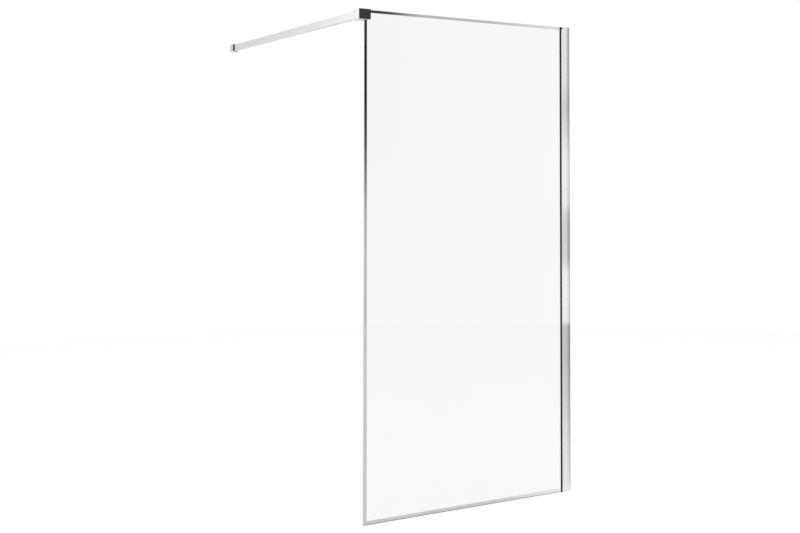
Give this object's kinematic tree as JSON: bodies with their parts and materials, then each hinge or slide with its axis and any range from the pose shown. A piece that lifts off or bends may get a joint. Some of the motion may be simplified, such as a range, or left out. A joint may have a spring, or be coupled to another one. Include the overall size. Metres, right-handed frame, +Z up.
{
  "type": "shower screen",
  "caption": "Fixed walk-in shower screen: clear glass in a slim chrome edge frame, held by a wall profile and by a rectangular support bar from its free top corner to the back wall.",
  "frame": {"origin": "on the side wall at floor level, in the middle plane of the glass: the foot of the wall profile's back face", "axes": "+Z up; +X into the side wall, so the glass runs towards -X; +Y along the support bar to the back wall"},
  "size_m": [1.0432, 1.303, 2.0026],
  "materials": {
    "chrome": "mirror polished",
    "clear_glass": "clear, polished edges",
    "black_rubber": "matt, extruded",
    "grey_seal": "silver-grey satin, extruded",
    "grey_liner": "satin, extruded",
    "mill_aluminium": "mill finish",
    "grey_plastic": "moulded",
    "black_plastic": "moulded",
    "steel": "stainless"
  },
  "bodies": {
    "wall_side": {"wall_profile": "chrome", "profile_top_cap": "black_plastic", "profile_bottom_cap": "black_plastic", "front_wiper_seal": "black_rubber", "rear_wiper_seal": "black_rubber", "profile_lock_screws": "steel", "lock_screw_caps": "chrome"},
    "panel": {"glass_pane": "clear_glass", "glass_carrier": "mill_aluminium", "carrier_front_gasket": "black_rubber", "carrier_rear_gasket": "black_rubber", "glass_edge_blocks": "grey_plastic", "top_trim": "chrome", "free_edge_trim": "chrome", "bottom_trim": "chrome", "top_trim_liner": "grey_liner", "free_edge_liner": "grey_liner", "bottom_trim_liner": "grey_liner", "bottom_seal": "grey_seal", "clamp_body": "chrome", "clamp_front_pad": "black_rubber", "clamp_rear_pad": "black_rubber", "clamp_pressure_plate": "steel", "clamp_screws": "steel", "bar_grub_screws": "steel"},
    "bar": {"support_bar": "chrome", "bar_front_insert": "grey_plastic", "flange_base": "mill_aluminium", "flange_lock_screw": "steel"},
    "cover": {"flange_cover": "chrome"}
  },
  "joints": [
    {"name": "panel_adjust", "type": "slide", "parent": "wall_side", "child": "panel", "axis": [1, 0, 0], "range_m": [-0.008, 0]},
    {"name": "bar_adjust", "type": "slide", "parent": "panel", "child": "bar", "axis": [0, 1, 0], "range_m": [-0.009, 0.009]},
    {"name": "cover_slide", "type": "slide", "parent": "bar", "child": "cover", "axis": [0, 1, 0], "range_m": [-0.06, 0]}
  ]
}
